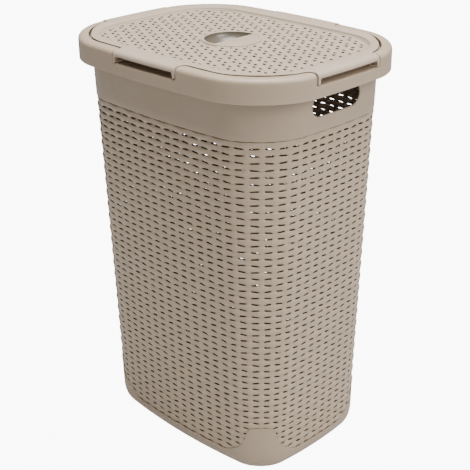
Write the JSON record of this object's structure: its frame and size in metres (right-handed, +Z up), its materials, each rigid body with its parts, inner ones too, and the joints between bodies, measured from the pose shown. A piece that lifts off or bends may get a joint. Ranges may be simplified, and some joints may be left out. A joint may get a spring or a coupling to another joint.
{
  "type": "laundry hamper",
  "caption": "Tall tapering laundry hamper in rattan-look moulded plastic, with slotted walls, hand holes and a lift-off lid with a finger pull.",
  "frame": {"origin": "middle of the footprint on the plane that the four foot pads stand on", "axes": "+Z up, X along the long sides, hand holes on the -X and +X ends, Y across, the front long side faces -Y"},
  "size_m": [0.421, 0.3244, 0.6],
  "materials": {
    "woven_plastic": "satin taupe polypropylene moulded as rattan weave with through slots",
    "tub_plastic": "satin taupe polypropylene, smooth",
    "rim_plastic": "satin taupe polypropylene, smooth with rolled edge",
    "lid_plastic": "satin taupe polypropylene, smooth",
    "lid_woven_plastic": "satin taupe polypropylene moulded as rattan weave with small holes",
    "pull_plastic": "polished taupe polypropylene"
  },
  "bodies": {
    "tub": {"floor_plate": "tub_plastic", "base_band_right": "tub_plastic", "base_band_back": "tub_plastic", "base_band_left": "tub_plastic", "base_band_front": "tub_plastic", "base_corner_back_right": "tub_plastic", "base_corner_back_left": "tub_plastic", "base_corner_front_left": "tub_plastic", "base_corner_front_right": "tub_plastic", "woven_wall_right": "woven_plastic", "woven_wall_back": "woven_plastic", "woven_wall_left": "woven_plastic", "woven_wall_front": "woven_plastic", "woven_corner_back_right": "woven_plastic", "woven_corner_back_left": "woven_plastic", "woven_corner_front_left": "woven_plastic", "woven_corner_front_right": "woven_plastic", "upper_band_front": "tub_plastic", "upper_band_back": "tub_plastic", "handle_panel_left": "tub_plastic", "handle_panel_right": "tub_plastic", "upper_corner_back_right": "tub_plastic", "upper_corner_back_left": "tub_plastic", "upper_corner_front_left": "tub_plastic", "upper_corner_front_right": "tub_plastic", "rim_corner_back_right": "rim_plastic", "rim_corner_back_left": "rim_plastic", "rim_corner_front_left": "rim_plastic", "rim_corner_front_right": "rim_plastic", "rim_notch_right": "rim_plastic", "rim_notch_back": "rim_plastic", "rim_notch_left": "rim_plastic", "rim_notch_front": "rim_plastic"},
    "lid": {"lid_border": "lid_plastic", "lid_woven_field": "lid_woven_plastic", "lid_wing_right": "lid_plastic", "lid_wing_back": "lid_plastic", "lid_wing_left": "lid_plastic", "lid_wing_front": "lid_plastic", "finger_pull_dish": "pull_plastic", "finger_pull_grip": "pull_plastic"}
  },
  "joints": [
    {"name": "lid_lift", "type": "slide", "parent": "tub", "child": "lid", "axis": [0, 0, 1], "range_m": [0, 0.3]}
  ]
}
